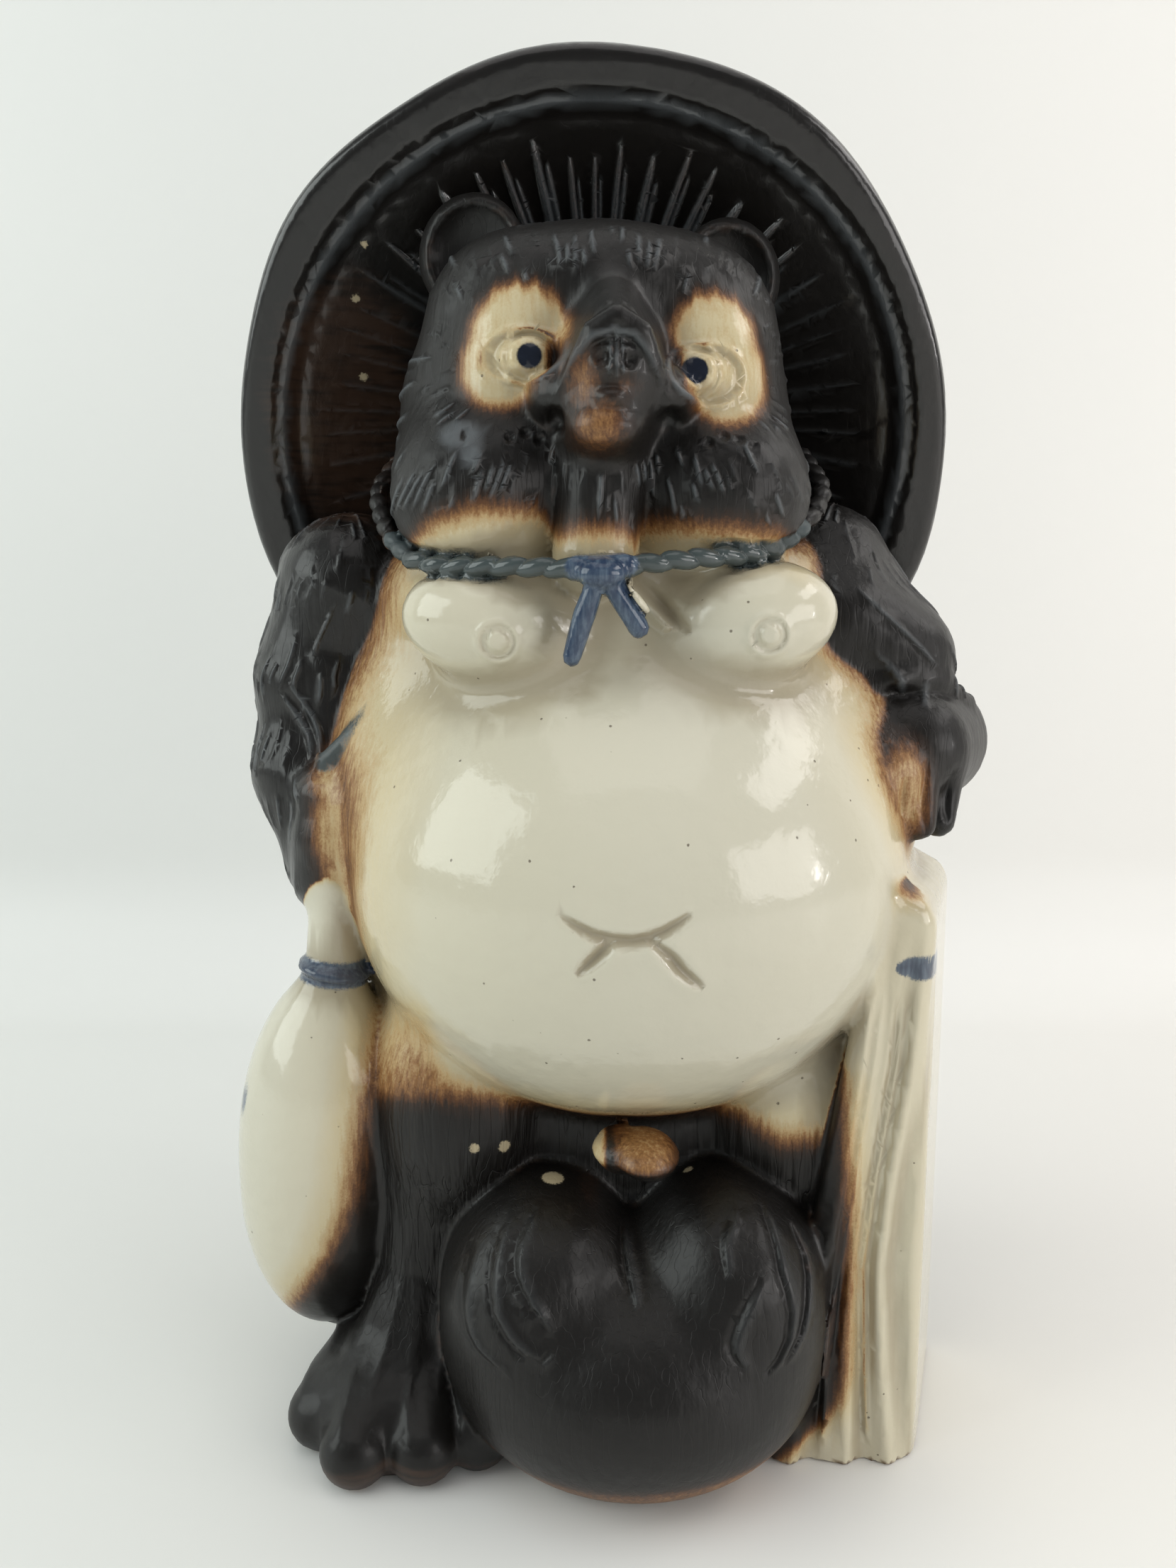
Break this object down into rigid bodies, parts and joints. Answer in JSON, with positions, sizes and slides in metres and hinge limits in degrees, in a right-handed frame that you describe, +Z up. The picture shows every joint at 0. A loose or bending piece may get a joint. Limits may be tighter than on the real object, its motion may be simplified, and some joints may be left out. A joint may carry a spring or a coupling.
{
  "type": "figural sake bottle",
  "caption": "Hollow glazed stoneware bottle in the form of a standing tanuki with straw hat, flask and account book, pouring neck behind the hat.",
  "frame": {"origin": "middle of the footprint, on the level the figure stands on", "axes": "+Z up along the figure, -Y out of its face, +X to the viewer's right, where the account book is"},
  "size_m": [0.1358, 0.1036, 0.2332],
  "materials": {
    "glaze": "glossy"
  },
  "bodies": {
    "root": {"tanuki_bottle": "glaze"}
  },
  "joints": []
}
